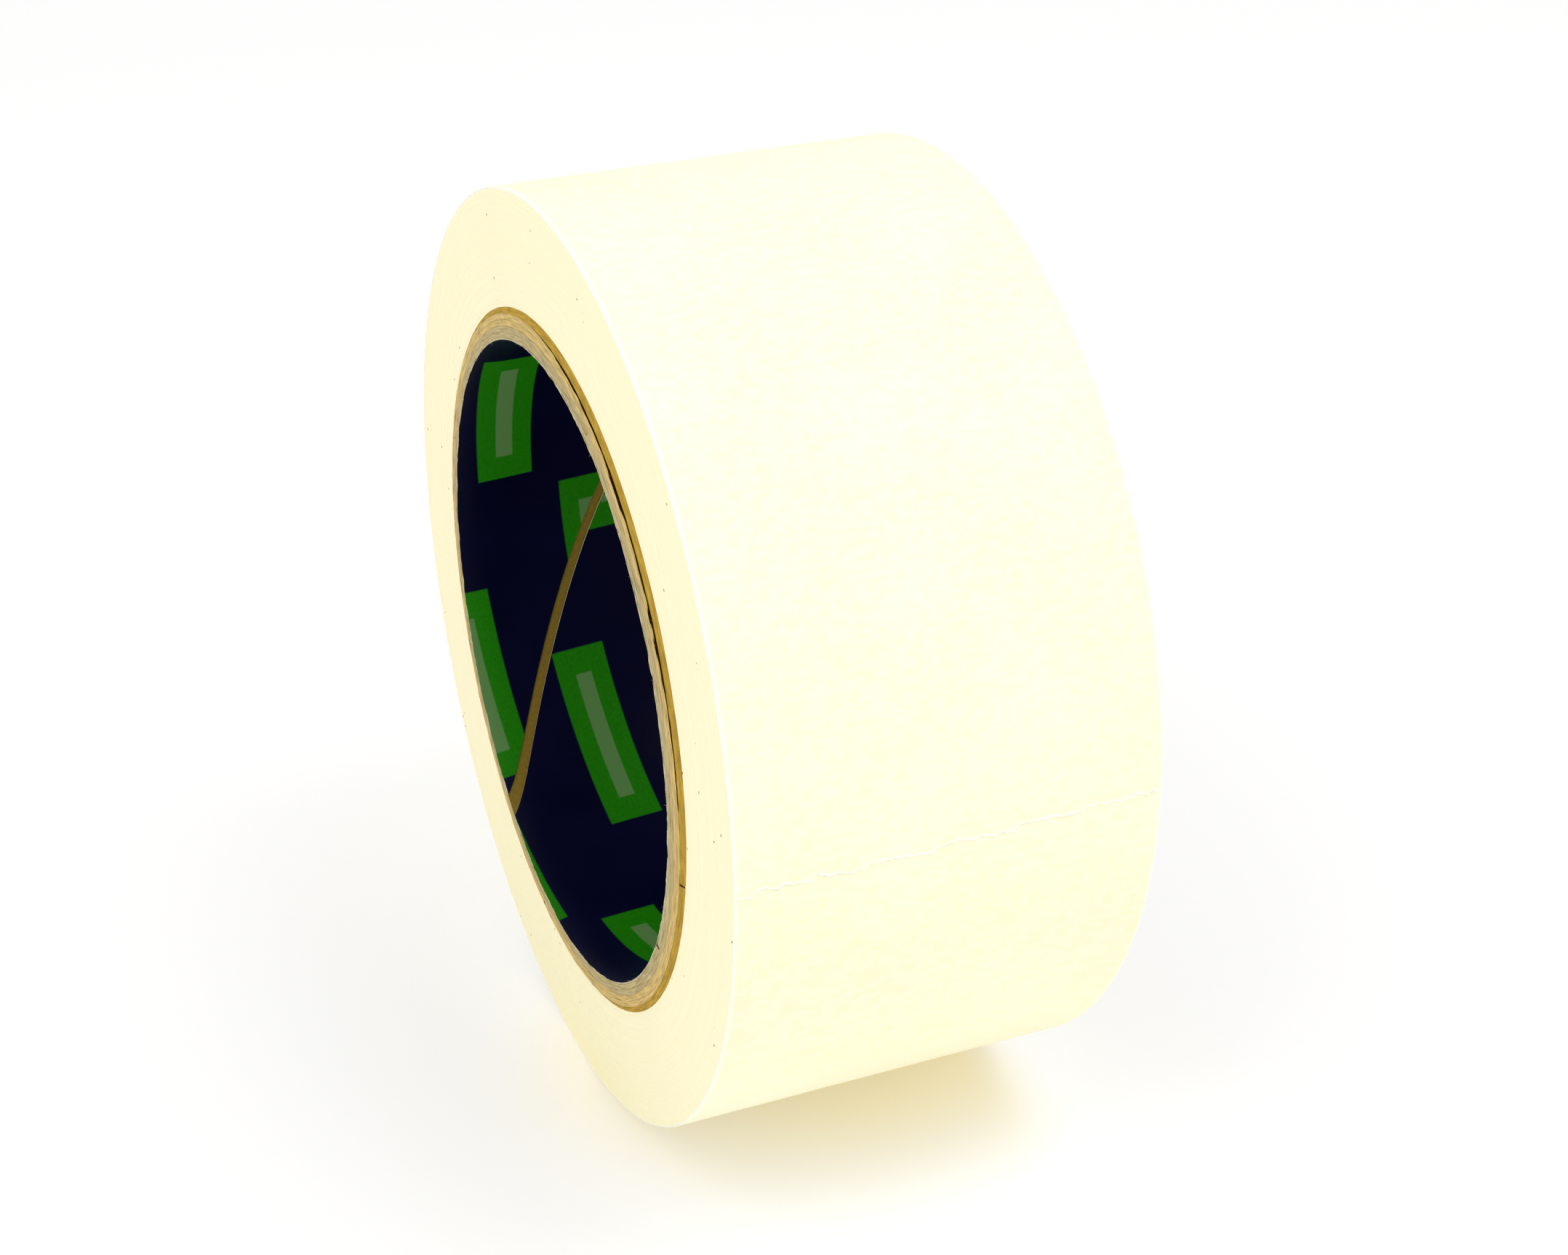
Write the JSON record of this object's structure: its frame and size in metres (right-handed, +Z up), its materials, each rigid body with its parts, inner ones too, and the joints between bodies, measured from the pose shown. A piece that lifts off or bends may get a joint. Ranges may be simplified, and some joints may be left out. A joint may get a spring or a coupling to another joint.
{
  "type": "masking tape roll",
  "caption": "Upright roll of pale crepe masking tape wound on a spiral board core with a dark paper liner; its torn end peels off in a curl.",
  "frame": {"origin": "centre of the core's bore, midway between the two side faces", "axes": "+Y along the roll's axis, from the front side face to the back one; +Z up with the roll standing on its tread; the torn end lies on the +X side"},
  "size_m": [0.1129, 0.05, 0.1129],
  "materials": {
    "masking_tape": "crepe paper, matt, with pale slit edges",
    "core_board": "cut kraft board, fibrous",
    "liner_paper": "dark blue printed paper, slightly glossy, with plain green patches"
  },
  "bodies": {
    "roll": {"core_liner": "liner_paper", "core_ply_1": "core_board", "core_ply_2": "core_board", "core_ply_3": "core_board", "core_ply_4": "core_board", "core_ply_5": "core_board", "tape_windings": "masking_tape"},
    "flap_1": {"tape_end_1": "masking_tape"},
    "flap_2": {"tape_end_2": "masking_tape"},
    "flap_3": {"tape_end_3": "masking_tape"},
    "flap_4": {"tape_end_4": "masking_tape"}
  },
  "joints": [
    {"name": "peel_1", "type": "hinge", "parent": "roll", "child": "flap_1", "pos_m": [0.0507, 0, 0.02497], "axis": [0, -1, 0], "range_deg": [0, 38]},
    {"name": "peel_2", "type": "hinge", "parent": "flap_1", "child": "flap_2", "pos_m": [0.05306, 0, 0.01946], "axis": [0, -1, 0], "range_deg": [0, 38]},
    {"name": "peel_3", "type": "hinge", "parent": "flap_2", "child": "flap_3", "pos_m": [0.05483, 0, 0.01373], "axis": [0, -1, 0], "range_deg": [0, 38]},
    {"name": "peel_4", "type": "hinge", "parent": "flap_3", "child": "flap_4", "pos_m": [0.05597, 0, 0.00785], "axis": [0, -1, 0], "range_deg": [0, 38]}
  ],
  "couplings": [
    {"joint": "peel_2", "follows": "peel_1", "ratio": 1},
    {"joint": "peel_3", "follows": "peel_1", "ratio": 1},
    {"joint": "peel_4", "follows": "peel_1", "ratio": 1}
  ]
}
